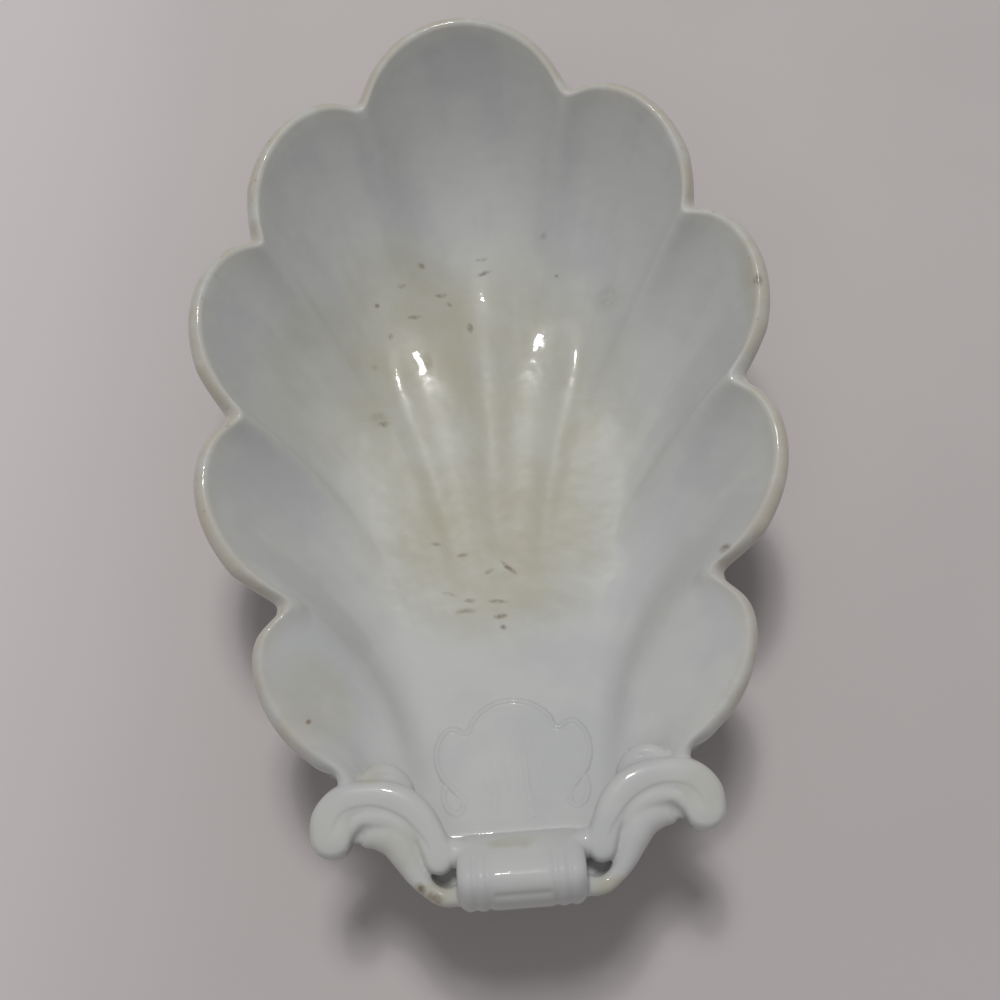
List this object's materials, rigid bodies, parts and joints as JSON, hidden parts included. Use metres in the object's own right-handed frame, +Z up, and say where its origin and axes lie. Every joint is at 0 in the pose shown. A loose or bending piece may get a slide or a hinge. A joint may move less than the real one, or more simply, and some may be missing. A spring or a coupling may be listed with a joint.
{
  "type": "shell dish",
  "caption": "Footed shell-shaped serving dish in glazed white earthenware, with a fluted lobed bowl and a scrolled handle end.",
  "frame": {"origin": "on the table, under the middle of the dish's length and width", "axes": "+Y from the handle to the back lobe, +Z up, +X to the right seen from the handle"},
  "size_m": [0.1682, 0.2648, 0.0615],
  "materials": {
    "white_glaze": "glossy, worn",
    "bare_biscuit": "glazed sides, wiped foot"
  },
  "bodies": {
    "root": {"shell_bowl": "white_glaze", "foot_ring": "bare_biscuit", "handle_roll": "white_glaze", "left_scroll": "white_glaze", "right_scroll": "white_glaze", "shell_sprig": "white_glaze"}
  },
  "joints": []
}
